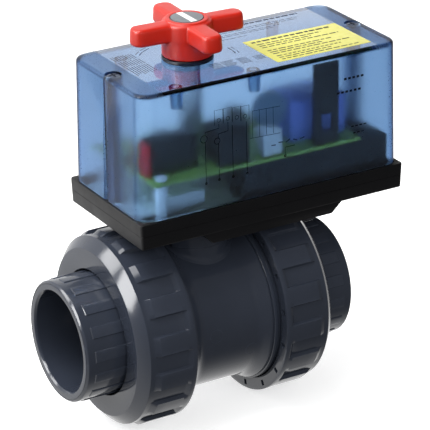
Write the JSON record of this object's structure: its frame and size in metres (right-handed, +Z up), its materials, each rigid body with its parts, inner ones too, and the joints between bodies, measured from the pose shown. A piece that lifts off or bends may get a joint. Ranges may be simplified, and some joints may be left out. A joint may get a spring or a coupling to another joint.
{
  "type": "motorized valve actuator",
  "caption": "Electric quarter-turn actuator with a translucent cover and four-arm hand knob, on a true-union plastic ball valve with solvent sockets.",
  "frame": {"origin": "where the pipe axis meets the stem axis, at the centre of the ball", "axes": "+X along the pipe towards the long end of the actuator, +Z up the stem towards the hand knob"},
  "size_m": [0.1743, 0.0976, 0.1997],
  "materials": {
    "pvc_grey": "satin moulded PVC-U",
    "black_plastic": "satin moulded",
    "board_black": "moulded",
    "rubber": "matt",
    "ptfe": "machined",
    "cover_blue": "translucent moulded polycarbonate, frosted sides",
    "knob_red": "satin moulded",
    "indicator_grey": "satin",
    "steel": "turned",
    "gear_plastic": "moulded acetal",
    "white_plastic": "moulded",
    "board_green": "solder mask",
    "red_epoxy": "dipped epoxy",
    "disc_green": "dipped epoxy",
    "blue_plastic": "moulded"
  },
  "bodies": {
    "housing": {"valve_body": "pvc_grey", "seat_carrier": "pvc_grey", "right_ball_seat": "ptfe", "left_ball_seat": "ptfe", "right_seat_oring": "rubber", "left_seat_oring": "rubber", "mounting_adapter": "pvc_grey", "adapter_screw_1": "steel", "adapter_screw_2": "steel", "adapter_screw_3": "steel", "adapter_screw_4": "steel", "actuator_base": "black_plastic", "cover_gasket": "rubber", "cover": "cover_blue", "left_cover_screw": "steel", "right_cover_screw": "steel", "cable_gland": "black_plastic", "lower_shaft_bush": "gear_plastic", "upper_shaft_bush": "gear_plastic", "knob_collar": "rubber", "gear_axle_2": "steel", "gear_axle_1": "steel", "motor": "steel", "gearbox_housing": "black_plastic", "switch_bracket": "black_plastic", "closed_limit_switch": "board_black", "open_limit_switch": "board_black", "circuit_board": "board_green", "front_board_standoff": "black_plastic", "rear_board_standoff": "black_plastic", "front_board_screw": "white_plastic", "rear_board_screw": "white_plastic", "closing_relay": "board_black", "opening_relay": "board_black", "filter_capacitor": "red_epoxy", "terminal_block": "white_plastic", "surge_varistor": "disc_green", "supply_transformer": "blue_plastic", "terminal_guard": "board_black"},
    "drive": {"output_shaft": "steel", "output_gear": "gear_plastic", "closed_cam": "white_plastic", "open_cam": "white_plastic", "valve_stem": "pvc_grey", "lower_stem_oring": "rubber", "upper_stem_oring": "rubber", "ball": "pvc_grey", "hand_knob": "knob_red", "indicator_disc": "indicator_grey"},
    "gear_two": {"intermediate_gear_2": "gear_plastic"},
    "gear_one": {"intermediate_gear_1": "gear_plastic"},
    "motor_rotor": {"motor_pinion": "gear_plastic"},
    "closed_lever": {"closed_switch_lever": "steel"},
    "open_lever": {"open_switch_lever": "steel"},
    "left_end": {"left_end_connector": "pvc_grey", "left_end_oring": "rubber"},
    "left_nut": {"left_union_nut": "pvc_grey"},
    "right_end": {"right_end_connector": "pvc_grey", "right_end_oring": "rubber"},
    "right_nut": {"right_union_nut": "pvc_grey"}
  },
  "joints": [
    {"name": "stem_turn", "type": "hinge", "parent": "housing", "child": "drive", "pos_m": [0, 0, 0], "axis": [0, 0, 1], "range_deg": [0, 90]},
    {"name": "gear_two_spin", "type": "hinge", "parent": "housing", "child": "gear_two", "pos_m": [0.0345, 0, 0.065], "axis": [0, 0, 1], "range_deg": [-324.5, 0]},
    {"name": "gear_one_spin", "type": "hinge", "parent": "housing", "child": "gear_one", "pos_m": [0.06, 0, 0.07], "axis": [0, 0, 1], "range_deg": [0, 778]},
    {"name": "motor_spin", "type": "hinge", "parent": "housing", "child": "motor_rotor", "pos_m": [0.07591, -0.01591, 0.072], "axis": [0, 0, 1], "range_deg": [-1556, 0]},
    {"name": "closed_lever_swing", "type": "hinge", "parent": "housing", "child": "closed_lever", "pos_m": [-0.024, -0.0139, 0.0691], "axis": [0, 0, 1], "range_deg": [0, 8.1]},
    {"name": "open_lever_swing", "type": "hinge", "parent": "housing", "child": "open_lever", "pos_m": [-0.024, 0.0139, 0.0721], "axis": [0, 0, 1], "range_deg": [0, 8.1]},
    {"name": "left_end_slide", "type": "slide", "parent": "housing", "child": "left_end", "axis": [-1, 0, 0], "range_m": [0, 0.0181]},
    {"name": "left_nut_turn", "type": "hinge", "parent": "left_end", "child": "left_nut", "pos_m": [-0.04, 0, 0], "axis": [-1, 0, 0], "range_deg": [0, 2160]},
    {"name": "right_end_slide", "type": "slide", "parent": "housing", "child": "right_end", "axis": [1, 0, 0], "range_m": [0, 0.0181]},
    {"name": "right_nut_turn", "type": "hinge", "parent": "right_end", "child": "right_nut", "pos_m": [0.04, 0, 0], "axis": [1, 0, 0], "range_deg": [0, 2160]}
  ],
  "couplings": [
    {"joint": "gear_two_spin", "follows": "stem_turn", "ratio": -3.6},
    {"joint": "gear_one_spin", "follows": "stem_turn", "ratio": 8.64},
    {"joint": "motor_spin", "follows": "stem_turn", "ratio": -17.28},
    {"joint": "closed_lever_swing", "follows": "stem_turn", "ratio": 0.088889},
    {"joint": "open_lever_swing", "follows": "stem_turn", "ratio": 0.088889},
    {"joint": "left_end_slide", "follows": "left_nut_turn", "m_per_rad": 0.00047746},
    {"joint": "right_end_slide", "follows": "right_nut_turn", "m_per_rad": 0.00047746}
  ]
}
